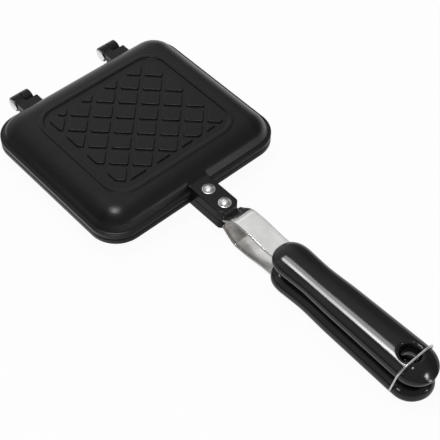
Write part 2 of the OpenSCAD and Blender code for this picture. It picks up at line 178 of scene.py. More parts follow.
class PieIronStraps(PropertyGroup):
    """Sizes of the bent steel straps and their rivets."""

    width: length("Width", "Width of the straps", 16)
    thickness: length("Thickness", "Thickness of the straps", 2)
    tongue: length("Tongue", "Width of the strap's tongue in the ear", 11.6)
    tongue_height: length("Tongue height", "Middle of the tongue over the parting plane", 2.6)
    rise: length("Rise", "Height of the crest over the tongue", 7.8)
    drop: length("Drop", "Drop from the crest to the grip", 1.9)
    rise_from: length("Rise from", "Place where the strap begins to rise", 92.8)
    rise_run: length("Rise run", "Length of the rise", 14.2)
    crest: length("Crest", "Place of the crest", 112)
    level: length("Level", "Place where the strap is straight again", 134.3)
    edge: length("Edge", "Rounding of the strap's edges", 0.45)
    rivet_head: length("Rivet head", "Diameter of the rivet heads", 8.4)
    rivet_height: length("Rivet height", "Height of the rivet heads", 1.9)
    rivet_tail: length("Rivet tail", "Diameter of the flat heads under the straps", 6.9)


class PieIronGrips(PropertyGroup):
    """Sizes of the moulded grips and their screws."""

    start: length("Start", "Front tip of the grips", 134.8)
    end: length("End", "End of the grips", 257.6)
    gap: length("Gap", "Gap between the two grips", 5.4)
    half_width: length("Half width", "Half width near the end", 13.8)
    back: length("Back", "Height of a grip's back over the parting plane", 15.9)
    middle: length("Middle", "Height of the widest line", 8.5)
    waist_at: length("Waist at", "Place of the waist", 167)
    waist: share("Waist", "Size at the waist as a share of the largest", 0.815)
    nose: length("Nose", "Length of the rounded front", 17)
    tail: length("Tail", "Length of the rounded end", 14.6)
    hole: length("Hole", "Diameter of the hanging hole", 12.5)
    hole_back: length("Hole back", "Distance of the hanging hole from the end", 17.8)
    mouth: length("Mouth", "Rounding of the hanging hole's mouth", 2.4)
    rounding: length("Rounding", "Rounding of the flat face's edge", 0.8)
    screw_at: length("Screw at", "Place of the grip screws", 156)
    screw_seat: length("Screw seat", "Diameter of the screw's seat", 8)
    seat_top: length("Seat top", "Height of the seat's bottom over the parting plane", 5.5)


class PieIronBail(PropertyGroup):
    """Sizes of the wire bail."""

    wire: length("Wire", "Diameter of the wire", 1.2)
    leg: length("Leg", "Distance of a leg from the middle", 14.85)
    tip: length("Tip", "Distance of a tip's end from the middle", 9.2)
    lean: length("Lean", "Lean of the closed bail at its top bar", 3.6)
    rise: length("Rise", "Height of the top bar over the pivots", 25.45)
    bend: length("Bend", "Radius of the upper bends", 8.5)
    tip_bend: length("Tip bend", "Radius of the bends at the pivots", 1.5)


class PieIronFinish(PropertyGroup):
    """Colours of the finishes."""

    coating: paint("Coating", "Non-stick coating of the pans", (0.0046, 0.0046, 0.0058))
    plastic: paint("Plastic", "Moulded grips", (0.0068, 0.0068, 0.0072))
    strap: paint("Strap steel", "Bright strap steel", (0.86, 0.86, 0.85))
    rivet: paint("Rivets", "Bright rivets", (0.88, 0.88, 0.87))
    pin: paint("Pins", "Bright hinge pins", (0.86, 0.87, 0.88))
    wire: paint("Wire", "Drawn bail wire", (0.80, 0.80, 0.79))
    floor: paint("Floor", "Studio floor", (0.90, 0.90, 0.90))


class PieIronStudio(PropertyGroup):
    """Lamps of the studio."""

    key: watts("Key", "Overhead lamp", 7.2)
    glow: watts("Glow", "Weaker lamp beside the key", 2.8)
    side: watts("Side", "Wide lamp beside the grips", 0.85)
    fill: watts("Fill", "Small lamp overhead", 4.2)
    ends: watts("Ends", "Each lamp for the grips' ends", 0.7)
    steel: watts("Steel", "Wide lamp for the bright steel", 2.4)
    low: watts("Low", "Low lamp behind the grips", 0.12)
    sky: share("Sky", "Strength of the world on matt surfaces", 0.50, 0.0, 2.0)


class Sizes:
    """The values of a property group, with its lengths in millimetres."""

    def __init__(self, group):
        for key in type(group).__annotations__:
            unit = group.bl_rna.properties[key].unit
            value = getattr(group, key)
            setattr(self, key, value / MM if unit == "LENGTH" else value)


# ---------------- shader maths


class Wire:
    """A socket on which Python's arithmetic adds Math nodes."""

    def __init__(self, finish, socket):
        self.finish = finish
        self.socket = socket

    def maths(self, operation, *values):
        return self.finish.node("ShaderNodeMath", {"operation": operation},
                                dict(enumerate(values)))

    def __add__(self, other):
        return self.maths("ADD", self, other)

    __radd__ = __add__

    def __sub__(self, other):
        return self.maths("SUBTRACT", self, other)

    def __rsub__(self, other):
        return self.maths("SUBTRACT", other, self)

    def __mul__(self, other):
        return self.maths("MULTIPLY", self, other)

    def __truediv__(self, other):
        return self.maths("DIVIDE", self, other)

    def __abs__(self):
        return self.maths("ABSOLUTE", self)

    def clamped(self):
        """The value held between 0 and 1."""
        return self.maths("MINIMUM", self.maths("MAXIMUM", self, 0.0), 1.0)

    def between(self, low, high):
        """0 up to low, 1 from high, and straight between."""
        return ((self - low) / (high - low)).clamped()


class Nodes:
    """A node tree, to which every node is added in one way."""

    def __init__(self, tree):
        self.tree = tree
        self.tree.nodes.clear()

    def node(self, kind, settings=None, inputs=None, output=0):
        """Adds a node: its settings first, then values or links of its sockets."""
        made = self.tree.nodes.new(kind)
        for key, value in (settings or {}).items():
            setattr(made, key, value)
        for key, value in (inputs or {}).items():
            socket = made.inputs[key]
            if isinstance(value, Wire):
                self.tree.links.new(value.socket, socket)
            else:
                socket.default_value = value
        return Wire(self, made.outputs[output]) if len(made.outputs) else None

    def rays(self):
        """Whether a camera, glossy or transmission ray is at work, as values of 0 or 1."""
        outputs = self.node("ShaderNodeLightPath").socket.node.outputs
        return [Wire(self, outputs[f"Is {ray} Ray"])
                for ray in ("Camera", "Glossy", "Transmission")]

    def parts(self, vector):
        """The three parts of a vector."""
        first = self.node("ShaderNodeSeparateXYZ", None, {0: vector})
        return [Wire(self, first.socket.node.outputs[k]) for k in range(3)]

    def mixed(self, factor, first, second):
        """A colour between two colours."""
        return self.node("ShaderNodeMix", {"data_type": "RGBA"},
                         {0: factor, 6: first, 7: second}, output=2)

    def bump(self, height, distance, strength=1.0, under=None):
        """A normal, over another one if there is one under it."""
        inputs = {"Height": height, "Distance": distance, "Strength": strength}
        if under is not None:
            inputs["Normal"] = under
        return self.node("ShaderNodeBump", None, inputs)


class Finish(Nodes):
    """A material made of nodes."""

    def __init__(self, name, shown):
        self.material = bpy.data.materials.new(name + "_finish")
        self.material.use_nodes = True
        self.material.diffuse_color = (*shown, 1.0)
        super().__init__(self.material.node_tree)
        self.shown = shown
        self.spot = self.node("ShaderNodeTexCoord", output="Object")

    def noise(self, scale, detail=2.0, roughness=0.5):
        """Noise at one scale, or at one scale for each axis."""
        vector = self.spot
        if isinstance(scale, tuple):
            vector = self.node("ShaderNodeVectorMath", {"operation": "MULTIPLY"},
                               {0: vector, 1: scale})
            scale = 1.0
        return self.node("ShaderNodeTexNoise", {"noise_dimensions": "3D"},
                         {"Vector": vector, "Scale": scale, "Detail": detail,
                          "Roughness": roughness})

    def tinted(self, factor, low, high):
        """The finish's colour, from one share of it to another."""
        return self.mixed(factor, rgba(self.shown, low), rgba(self.shown, high))

    def surface(self, base, rough, relief, **others):
        """Closes the material with one principled surface."""
        sockets = {"Base Color": base, "Roughness": rough.clamped(), "Normal": relief}
        sockets.update((key.replace("_", " "), value) for key, value in others.items())
        shader = self.node("ShaderNodeBsdfPrincipled", None, sockets)
        self.node("ShaderNodeOutputMaterial", None, {"Surface": shader})


def rgba(colour, factor=1.0):
    """A colour made lighter or darker, with its alpha."""
    return (*[min(1.0, c * factor) for c in colour], 1.0)


def coated_pan_finish(colour):
    """Satin non-stick coating over a fine cast grain."""
    f = Finish("coated_pan", colour)
    cloud = f.noise(38.0, 4.0, 0.6)
    grain = f.noise(1500.0, 3.0, 0.65)
    speck = f.node("ShaderNodeTexVoronoi", {"feature": "F1"}, {"Vector": f.spot, "Scale": 1100.0})
    tone = (cloud - 0.5) * 0.9 + (grain - 0.5) * 0.7 + 0.5
    base = f.tinted(tone.clamped(), 0.6, 1.5)
    dust = speck.between(0.16, 0.05) * grain.between(0.5, 0.65)
    base = f.mixed(dust * 0.2, base, rgba((0.07, 0.07, 0.075)))
    rough = 0.30 + (grain - 0.5) * 0.14 + (cloud - 0.5) * 0.10
    coarse = f.bump(f.noise(420.0), 0.00009, 0.8)
    f.surface(base, rough, f.bump(grain, 0.000022, 1.0, coarse), IOR=1.45,
              Specular_IOR_Level=0.58)


def plastic_finish(colour):
    """Glossy moulded plastic with faint flow lines."""
    f = Finish("grip_plastic", colour)
    flow = f.noise((14.0, 60.0, 60.0), 3.0, 0.55)
    scuff = f.noise((90.0, 1400.0, 900.0), 2.0, 0.7)
    base = f.tinted(flow.between(0.3, 0.7), 0.8, 1.3)
    rough = 0.11 + (flow - 0.5) * 0.04 + scuff.between(0.62, 0.8) * 0.06
    waves = f.bump(f.noise(110.0), 0.00004, 0.4)
    f.surface(base, rough, f.bump(f.noise(900.0), 0.000004, 0.6, waves), IOR=1.5)


def strap_finish(colour):
    """Rolled steel strap, brushed along its length, browned a little near the ear, with painted
    shade there on the lower strap.
    """
    f = Finish("strap_steel", colour)
    along, _, up = f.parts(f.spot)
    brush = f.noise((60.0, 2600.0, 900.0), 3.0, 0.6)
    cloud = f.noise(85.0, 3.0, 0.55)
    # browned in patches, most at the ear and low down, and no more near the grip: partly a heat
    # tint, partly painted shade where the lower strap lies under the upper one
    patches = f.noise(160.0, 3.0, 0.6).between(0.15, 0.7)
    heat_tint_and_painted_shade = along.between(0.135, 0.100) * patches * (up.between(0.0165, 0.0135) * 0.85 + 0.15)
    base = f.tinted(cloud.between(0.3, 0.72), 0.86, 1.05)
    base = f.mixed(heat_tint_and_painted_shade * 0.8, base, rgba((0.33, 0.28, 0.25)))
    rough = 0.19 + (brush - 0.5) * 0.12 + (cloud - 0.5) * 0.06
    f.surface(base, rough, f.bump(brush, 0.000008, 0.6), Metallic=1.0)


def bright_finish(name, colour, rough, scratch):
    """Bright headed steel with turned marks and small scratches."""
    f = Finish(name, colour)
    cloud = f.noise(420.0, 3.0, 0.6)
    marks = f.noise((700.0, 2400.0, 900.0), 2.0, 0.6)
    base = f.tinted(cloud.between(0.3, 0.75), 0.88, 1.04)
    rough = rough + (cloud - 0.5) * 0.14 + (marks - 0.5) * 0.10
    f.surface(base, rough, f.bump(marks, scratch, 0.6), Metallic=1.0)


def wire_finish(colour):
    """Bright drawn wire with fine lines."""
    f = Finish("bail_wire", colour)
    lines = f.noise((2600.0, 2600.0, 160.0), 2.0, 0.6)
    cloud = f.noise(240.0, 3.0, 0.6)
    base = f.tinted(cloud.between(0.3, 0.7), 0.85, 1.05)
    f.surface(base, 0.24 + (lines - 0.5) * 0.16, f.bump(lines, 0.000006, 0.7), Metallic=1.0)


def floor_finish(colour):
    """Pale studio floor: matt, with the object's shadow, white to the camera, and white where
    metal reflects it except for a painted shadow and painted shade.
    """
    f = Finish("studio_floor", colour)
    paper = f.noise(30.0, 3.0)
    base = f.tinted(paper, 0.985, 1.0)
    matt = f.node("ShaderNodeBsdfDiffuse", None, {"Color": base})
    # the dark emission is the painted shadow and painted shade that reflections see
    white, painted_dark = [f.node("ShaderNodeEmission", None, {"Color": rgba((v, v, v)), "Strength": 1.0})
                   for v in (1.0, 0.03)]
    # what gloss sees of the floor is darker under the ears, under the grips and on the left: a
    # painted shadow and painted shade, seen only in reflections
    x, y, _ = f.parts(f.spot)
    painted_shadow = x.between(0.03, 0.06) * x.between(0.15, 0.10) * abs(y).between(0.10, 0.06)
    dim = (x * -0.45 - y * 0.9).between(0.085, 0.15)
    mirrored = (0.9 - painted_shadow * 0.6 - x.between(0.12, 0.25) * 0.3) * (1.0 - dim * 0.8)
    seen, glossy, through = f.rays()
    level = seen + through + glossy * mirrored
    shown = f.node("ShaderNodeMixShader", None, {0: level.clamped(), 1: painted_dark, 2: white})
    mix = f.node("ShaderNodeMixShader", None,
                 {0: (seen * 0.95 + glossy + through).clamped(), 1: matt, 2: shown})
    f.node("ShaderNodeOutputMaterial", None, {"Surface": mix})
    return f.material


# ---------------- mesh building


def arc(cx, cy, radius, angles):
    """Points round a centre, at angles in degrees."""
    return [(cx + radius * cos(radians(a)), cy + radius * sin(radians(a))) for a in angles]


def turn(steps):
    """The angles of a full circle."""
    return [360 * i / steps for i in range(steps)]


class Shape:
    """Points and faces of one piece, in millimetres, with Z over the parting plane."""

    def __init__(self):
        self.points = []
        self.faces = []

    def ring(self, points):
        """Adds points, and gives their numbers."""
        first = len(self.points)
        self.points.extend(points)
        return list(range(first, first + len(points)))

    def bridge(self, a, b):
        """Joins two rings of equally many points."""
        for i in range(len(a)):
            j = (i + 1) % len(a)
            self.faces.append((a[i], a[j], b[j], b[i]))

    def cap(self, ring):
        self.faces.append(tuple(ring))

    def onward(self, rim, points):
        """Carries an open rim on to new points."""
        ring = self.ring(points)
        self.bridge(rim, ring)
        return ring

    def neck(self, rim, centre, angles, circles):
        """Carries an open rim on through circles of (radius, height) about a place on X."""
        for r, z in circles:
            rim = self.onward(rim, [(x, y, z) for x, y in arc(centre, 0, r, angles)])
        return rim

    def loft(self, sections, closed_below=True):
        """Joins rings of equally many points, and closes the ends."""
        rings = [self.ring(s) for s in sections]
        for a, b in zip(rings, rings[1:]):
            self.bridge(a, b)
        if closed_below:
            self.cap(rings[0][::-1])
        self.cap(rings[-1])

    def lathe(self, profile, centre, upright, steps):
        """Turns a profile of (radius, height) about an upright or a cross axis."""
        cx, cy, cz = centre
        self.loft([[(cx + u, cy + v, cz + h) if upright else (cx + u, cy + h, cz - v)
                    for u, v in arc(0, 0, r, turn(steps))] for r, h in profile])

    def prism(self, outline, low, high):
        """Pushes an outline in X and Z out along Y."""
        self.loft([[(x, y, z) for x, z in outline] for y in (low, high)])

    def object(self, name, flipped=False, sharp=40.0):
        """Makes the mesh object in metres, mirrored under the parting plane if flipped."""
        mesh = bpy.data.meshes.new(name)
        side = -1.0 if flipped else 1.0
        mesh.from_pydata([(x * MM, y * MM, (PARTING + side * z) * MM) for x, y, z in self.points],
                         [], self.faces)
        bm = bmesh.new()
        bm.from_mesh(mesh)
        bmesh.ops.remove_doubles(bm, verts=bm.verts, dist=WELD)
        bmesh.ops.dissolve_degenerate(bm, edges=bm.edges, dist=SHORTEST_EDGE)
        bmesh.ops.recalc_face_normals(bm, faces=bm.faces)
        bm.to_mesh(mesh)
        bm.free()
        mesh.shade_smooth()
        mesh.set_sharp_from_angle(angle=radians(sharp))
        made = bpy.data.objects.new(name, mesh)
        bpy.context.scene.collection.objects.link(made)
        return made


def softened(made, width):
    """Rounds the sharp edges of a piece."""
    bevel = made.modifiers.new("Soft edges", "BEVEL")
    bevel.width = width * MM
    bevel.segments = 3
    bevel.limit_method = "ANGLE"
    bevel.angle_limit = radians(35.0)
    bevel.harden_normals = True


def painted(made, slot):
    """Gives an object the finish of a slot."""
    finish = bpy.data.materials.get(slot + "_finish")
    if finish is None:
        raise RuntimeError("the finish " + slot + " isn't made yet")
    made.data.materials.clear()
    made.data.materials.append(finish)


# The group that the pieces of a slot join, to which some lamps are kept
LIT_WITH = {"grip_plastic": "glossy_pieces", "strap_steel": "bright_pieces",
            "rivet": "bright_pieces", "hinge_pin": "bright_pieces", "bail_wire": "bright_pieces"}


def finished(made, slot, body, *nodes):
    """Gives a piece its finish and its body, and lets it stand for its CAD nodes."""
    painted(made, slot)
    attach(made, body)
    if slot in LIT_WITH:
        bpy.data.collections[LIT_WITH[slot]].objects.link(made)
    if nodes:
        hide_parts(*nodes)
    return made


def signed_pow(value, power):
    """A power that keeps the sign."""
    return copysign(abs(value) ** power, value)


def ease(t):
    """A smooth step from 0 to 1."""
    u = min(max(t, 0.0), 1.0)
    return u * u * (3 - 2 * u)


def on_the_way(p, q, t):
    """A point between two points."""
    return p[0] + (q[0] - p[0]) * t, p[1] + (q[1] - p[1]) * t


def rounded_loop(depth, width, radius, z, steps=14, side=6):
    """A rounded rectangle of points, the same count for every size."""
    corners = [arc(sx * (depth / 2 - radius), sy * (width / 2 - radius), radius,
                   [90 * k + 90 * i / steps for i in range(steps + 1)])
               for k, (sx, sy) in enumerate(CORNERS)]
    points = []
    for k, corner in enumerate(corners):
        following = corners[(k + 1) % 4][0]
        points += corner + [on_the_way(corner[-1], following, i / side) for i in range(1, side)]
    return [(x, y, z) for x, y in points]


def sides(outline):
    """The sides of an outline, as pairs of points."""
    return zip(outline, outline[1:] + outline[:1])


def clipped(outline, inside):
    """The part of a convex outline that lies in another convex one."""
    for (ax, ay), (bx, by) in sides(inside):
        kept = []
        for p, q in sides(outline):
            sp, sq = [(bx - ax) * (y - ay) - (by - ay) * (x - ax) for x, y in (p, q)]
            if sp >= 0:
                kept.append(p)
            if (sp >= 0) != (sq >= 0):
                kept.append(on_the_way(p, q, sp / (sp - sq)))
        outline = kept
        if len(outline) < 3:
            return []
    return outline


def area_of(outline):
    return 0.5 * sum(a[0] * b[1] - b[0] * a[1] for a, b in sides(outline))


def middle_of(outline):
    """Centre of area of an outline."""
    total = area_of(outline) * 6
    x = y = 0.0
    for a, b in sides(outline):
        cross = a[0] * b[1] - b[0] * a[1]
        x, y = x + (a[0] + b[0]) * cross, y + (a[1] + b[1]) * cross
    return x / total, y / total


def inset(outline, distance):
    """A convex outline moved inwards, each point on its line to the middle."""
    cx, cy = middle_of(outline)
    least, lines = 0.02, []
    for a, b in sides(outline):
        n = dist(a, b)
        nx, ny = (b[1] - a[1]) / n, (a[0] - b[0]) / n
        lines.append((nx, ny, nx * (a[0] - cx) + ny * (a[1] - cy) - distance))
    moved = []
    for x, y in outline:
        dx, dy = x - cx, y - cy
        reach = min(max(c, least) / (nx * dx + ny * dy)
                    for nx, ny, c in lines if nx * dx + ny * dy > 1e-9)
        moved.append((cx + dx * reach, cy + dy * reach))
    return moved


def eased(outline, radius):
    """A convex outline with its sharp corners rounded."""
    shortest_side, almost_straight, largest_share = 0.25, -0.9, 0.45
    kept = [p for i, p in enumerate(outline) if dist(p, outline[i - 1]) > shortest_side]
    soft = []
    for i, b in enumerate(kept):
        arms = []
        for p in (kept[i - 1], kept[(i + 1) % len(kept)]):
            far = dist(p, b)
            arms.append(((p[0] - b[0]) / far, (p[1] - b[1]) / far,
                         min(radius, far * largest_share)))
        (ax, ay, a_cut), (cx, cy, c_cut) = arms
        if ax * cx + ay * cy < almost_straight:
            soft.append(b)
            continue
        for t in (0.0, 0.25, 0.5, 0.75, 1.0):
            u, v = (1 - t) ** 2 * a_cut, t * t * c_cut
            soft.append((b[0] + ax * u + cx * v, b[1] + ay * u + cy * v))
    return soft


# ---------------- the pans


class PanMaker(Sizes):
    """Shapes of one pan over the parting plane."""

    def __init__(self, group):
        super().__init__(group)
        self.outside = self.shoulder_profile()

    def tray_point(self, w1, z1, angle):
        """Distance from the edge and height of the tray's wall."""
        c, s = cos(radians(angle)), sin(radians(angle))
        return (w1 - (w1 - self.land) * abs(c) ** (2 / self.tray_plump),
                z1 * abs(s) ** (2 / self.tray_plump))

    def shoulder_profile(self):
        """Distance from the edge and height of the shoulder, from the flange up to the panel."""
        wide, tall = self.shoulder - self.flange_width, self.panel_height - self.flange_height
        p, steep, r = 2 / self.plump, self.steepest, self.fillet
        first = atan((tall / wide / tan(steep)) ** (1 / (2 - p)))
        last, curve_steps, root_steps, panel_lap = radians(86.0), 24, 7, 1.25
        curve = []
        for k in range(curve_steps + 1):
            t = first + (last - first) * k / curve_steps
            curve.append((self.shoulder - wide * cos(t) ** p,
                          self.flange_height + tall * sin(t) ** p))
        top = self.flange_height + r * (1 - cos(steep))
        foot = curve[0][0] - (curve[0][1] - top) / tan(steep) - r * sin(steep)
        root = [(foot + r * sin(a), self.flange_height + r * (1 - cos(a)))
                for a in [steep * k / root_steps for k in range(root_steps + 1)]]
        return root + [q for q in curve if q[0] < self.shoulder - panel_lap]

    def shoulder_height(self, inset_by):
        """Height of the outer shoulder at a distance from the pan's edge."""
        if inset_by <= self.outside[0][0]:
            return 0.0
        for (w0, z0), (w1, z1) in zip(self.outside, self.outside[1:]):
            if inset_by <= w1:
                return z0 + (z1 - z0) * (inset_by - w0) / (w1 - w0)
        return self.panel_height

    def level(self, by, z):
        """The pan's outline moved inwards."""
        return rounded_loop(self.depth - 2 * by, self.width - 2 * by,
                            max(self.corner - by, 1.0), z)

    def moved(self, ring):
        """A ring of the pattern, shifted towards the handles."""
        return [(x + self.pad_shift, y, z) for x, y, z in ring]

    def shell(self, shape):
        """Tray, land, rim, flange, shoulder, raised line and panel as one skin."""
        base, tray_edge = self.panel_height - self.floor, self.shoulder + 0.6
        profile = [(tray_edge + 4, base)]
        profile += [self.tray_point(tray_edge, base, a) for a in range(90, 4, -5)]
        profile += [(self.land - 0.02, 0.55), (self.land - 0.12, 0.27),
                    (self.land - 0.4, RIM_GAP), (0.9, RIM_GAP), (0.5, 0.24), (0.2, 0.46),
                    (0.05, 0.74), (0.0, 1.05)]
        e = self.edge
        profile += [(e * (1 - cos(t)), self.flange_height - e * (1 - sin(t)))
                    for t in map(radians, range(0, 91, 15))]
        rings = [self.level(by, z) for by, z in profile + self.outside]
        rings.append(self.moved(rounded_loop(self.line_depth + 0.5, self.width - 2 * self.shoulder,
                                             2.0, self.panel_height - 0.01)))
        h, band, field = self.line_height, self.line_band, -self.recess
        for out, up in ((0.5, 0.0), (0.12, 0.0), (0.03, 0.05), (0.0, 0.15), (0.0, h - 0.14),
                        (-0.05, h - 0.03), (-0.15, h), (-band + 0.15, h),
                        (-band + 0.05, h - 0.03), (-band, h - 0.14), (-band - 0.02, field + 0.08),
                        (-band - 0.12, field), (-band - 1.2, field)):
            rings.append(self.moved(rounded_loop(
                self.line_depth + 2 * out, self.line_width + 2 * out,
                self.line_corner + out, self.panel_height + up)))
        shape.loft(rings)

    def pads(self, shape):
        """The rows of raised pads inside the line."""
        by = self.line_band + self.pad_margin
        border = [(x, y) for x, y, _ in self.moved(rounded_loop(
            self.line_depth - 2 * by, self.line_width - 2 * by,
            self.field_corner, 0, steps=6, side=2))]
        a, b = self.pad_pitch_a - self.pad_gap, self.pad_pitch_b - self.pad_gap
        z, h = self.panel_height - self.recess, self.pad_height + self.recess
        steps = ((-0.08, 0.0), (-0.02, 0.06), (0.0, 0.16), (0.03, h - 0.30),
                 (0.08, h - 0.14), (0.18, h - 0.04), (0.34, h), (0.7, h))
        least_area, rounding, diagonal, rows = 3.4, 1.3, sqrt(0.5), range(-6, 6)
        for i in rows:
            for j in rows:
                u0, v0 = (i + 0.5) * self.pad_pitch_a, (j + 0.5) * self.pad_pitch_b
                outline = [((u0 + su * a / 2 - v0 - sv * b / 2) * diagonal + self.pad_shift,
                            (u0 + su * a / 2 + v0 + sv * b / 2) * diagonal)
                           for su, sv in CORNERS]
                outline = clipped(outline, border)
                if len(outline) < 3 or area_of(outline) < least_area:
                    continue
                outline = eased(outline, rounding)
                shape.loft([[(x, y, z + up) for x, y in inset(outline, inwards)]
                            for inwards, up in steps], closed_below=False)

    def ear(self, shape):
        """The channelled ear, with a root that runs into the shoulder."""
        edge, end, w, top = self.depth / 2, EAR_END, self.ear_width / 2, self.ear_height
        inner, roof = self.channel / 2, self.ear_roof
        # lengths over which the root runs into the shoulder, the end is rounded off and
        # the side turns into the bevel
        blend, rounding, turn_in = 3.4, 0.8, 0.8
        bevel = end - self.ear_bevel
        meet = bevel + (w - inner)
        stations = [edge - s for s in (7.5, 6.6, 5.8, 5.2, 4.7, 4.2, 3.7, 3.1, 2.4, 1.5, 0.5)]
        stations += [edge + k * (bevel - turn_in - edge) / 6 for k in range(1, 7)]
        stations += [bevel - 0.3, bevel + 0.2, bevel + 0.7, meet, meet + 0.01]
        stations += [end - s for s in (0.75, 0.5, 0.28, 0.1, 0.02, 0)]
        sections = []
        for x in stations:
            past = x - bevel
            half = w - max(0.0, past)
            if abs(past) < turn_in:
                half = w - (past + turn_in) ** 2 / turn_in / 4
            rise = self.shoulder_height(edge - x)
            z = max(top, rise) + max(blend - abs(top - rise), 0) ** 2 / blend / 4
            if rise > top + blend * 0.6:
                z -= 0.1
            if x > end - rounding:
                z = top - rounding + sqrt(max(0, rounding ** 2 - (x - end + rounding) ** 2))
            r, mouth = min(0.75, half * 0.3), min(inner, half)
            low = RIM_GAP if x <= meet + 0.001 else roof
            foot = half - 0.25 * (half > mouth)
            right = [(half, low + 0.25), (half, z - r - 0.6)]
            right += arc(half - r, z - r, r, (0, 22.5, 45, 67.5, 90)) + [(half * 0.6, z)]
            left = [(-y, h) for y, h in right[::-1]]
            below = [(-foot, low), (-mouth, low), (-mouth, roof), (mouth, roof), (mouth, low),
                     (foot, low)]
            sections.append([(x, y, h) for y, h in right + left + below])
        shape.loft(sections)

    def lug(self, shape, hinges, y0, low, high):
        """An arm with its knuckle, and the wide root of the arm."""
        r, top, axis = hinges.knuckle, hinges.arm_height, HINGE.x
        root = -self.depth / 2 + self.flange_width + 1.7
        start, steps = asin(top / r), 40
        outline = [(root, RIM_GAP), (root, top), (axis + r * cos(start) + 1.6, top)]
        start = degrees(start)
        outline += arc(axis, 0, r, [start + (361 - start) * i / steps for i in range(steps + 1)])
        shape.prism(outline, y0 + low, y0 + high)
        wide, under = axis + r + 0.4, top - 0.01
        shape.prism([(root, RIM_GAP), (root, under), (wide, under), (wide, RIM_GAP)],
                    y0 + 0.01, y0 + hinges.arm_width)


class PIEIRON_OT_pans(Operator):
    """Build the two cast pans with their ears, arms and knuckles"""

    bl_idname = "pieiron.pans"
    bl_label = "Pans"

    def execute(self, context):
        maker = PanMaker(context.scene.pieiron_pans)
        hinges = Sizes(context.scene.pieiron_hinges)
        knuckle = (hinges.barrel - hinges.gap) / 2
        skin, ear = Shape(), Shape()
        maker.shell(skin)
        maker.pads(skin)
        maker.ear(ear)
        for name, flipped in HALVES:
            pan = finished(skin.object(name + "_cast_pan", flipped, 55.0), "coated_pan", name,
                           name + "_pan")
            bpy.data.collections["coated_pieces"].objects.link(pan)
            finished(ear.object(name + "_ear", flipped), "coated_pan", name)
            lugs = Shape()
            low, high = (knuckle + hinges.gap, hinges.barrel) if flipped else (0.0, knuckle)
            for node in ("hinge_pin_left", "hinge_pin_right"):
                y0 = node_box(node)[0].y + hinges.head_height + PIN_GAP
                maker.lug(lugs, hinges, y0, low, high)
            softened(finished(lugs.object(name + "_hinge_arms", flipped), "coated_pan", name),
                     0.45)
        return {"FINISHED"}


# ---------------- pins, straps and rivets


class PIEIRON_OT_pins(Operator):
    """Build the two hinge pins with their domed heads and peened ends"""

    bl_idname = "pieiron.pins"
    bl_label = "Hinge pins"

    def execute(self, context):
        s = Sizes(context.scene.pieiron_hinges)
        head, shank, peen = s.head / 2, s.pin / 2, s.peen / 2
        height, rest = s.head_height, s.peen_height
        for side in ("left", "right"):
            node = "hinge_pin_" + side
            low, high = node_box(node)
            y0 = low.y + PIN_GAP + height
            top = high.y - y0
            profile = [(TIP, -PIN_GAP - height)]
            profile += [(head * sin(a) * 0.96,
                         -PIN_GAP - height * (0.42 + 0.58 * cos(a)))
                        for a in map(radians, range(8, 89, 8))]
            profile += [(head, -PIN_GAP - height * 0.34), (head, -PIN_GAP - 0.06),
                        (head - 0.12, -PIN_GAP), (shank, -PIN_GAP), (shank, top - rest),
                        (peen - 0.1, top - rest), (peen, top - rest * 0.8),
                        (peen, top - rest * 0.5), (peen - 0.5, top - rest * 0.25),
                        (shank, top - 0.05), (0.6, top), (TIP, top - 0.25)]
            shape = Shape()
            shape.lathe(profile, (HINGE.x, y0, 0), upright=False, steps=48)
            finished(shape.object("pin_" + side, sharp=50.0), "hinge_pin", "lower", node)
        return {"FINISHED"}


class PIEIRON_OT_straps(Operator):
    """Build the bent steel straps"""

    bl_idname = "pieiron.straps"
    bl_label = "Straps"

    def execute(self, context):
        s = Sizes(context.scene.pieiron_straps)

        def line(x):
            up = max((x - s.rise_from) / s.rise_run, 0.0) ** 0.8
            return (s.tongue_height + s.rise * ease(up)
                    - s.drop * ease((x - s.crest) / (s.level - s.crest)))

        xs = [STRAP_LOW.x + (s.rise_from - STRAP_LOW.x) * k / 6 for k in range(6)]
        xs += [s.rise_from + 0.4 * k for k in range(54)]
        xs += [s.crest + 2 + k for k in range(24)]
        xs += [STRAP_HIGH.x - 14, STRAP_HIGH.x]
        r, t = s.edge, s.thickness / 2
        sections = []
        for x in sorted(set(round(x, 3) for x in xs)):
            slope = (line(x + 0.05) - line(x - 0.05)) / 0.1
            n = hypot(1, slope)
            wide = ease((x - EAR_END - 0.2) / 0.9)
            w = (s.tongue + (s.width - s.tongue) * wide) / 2 - r
            ring = []
            for k, (sy, sh) in enumerate(CORNERS):
                ring += arc(sy * w, sh * (t - r), r, [90 * k + 22.5 * q for q in range(5)])
                if k in (0, 2):
                    ring += [(w * (1 - q / 3) * sy, sh * t) for q in range(1, 6)]
            sections.append([(x - h * slope / n, y, line(x) + h / n) for y, h in ring])
        shape = Shape()
        shape.loft(sections)
        for name, flipped in HALVES:
            finished(shape.object(name + "_bent_strap", flipped, 60.0), "strap_steel", name,
                     name + "_strap")
        return {"FINISHED"}


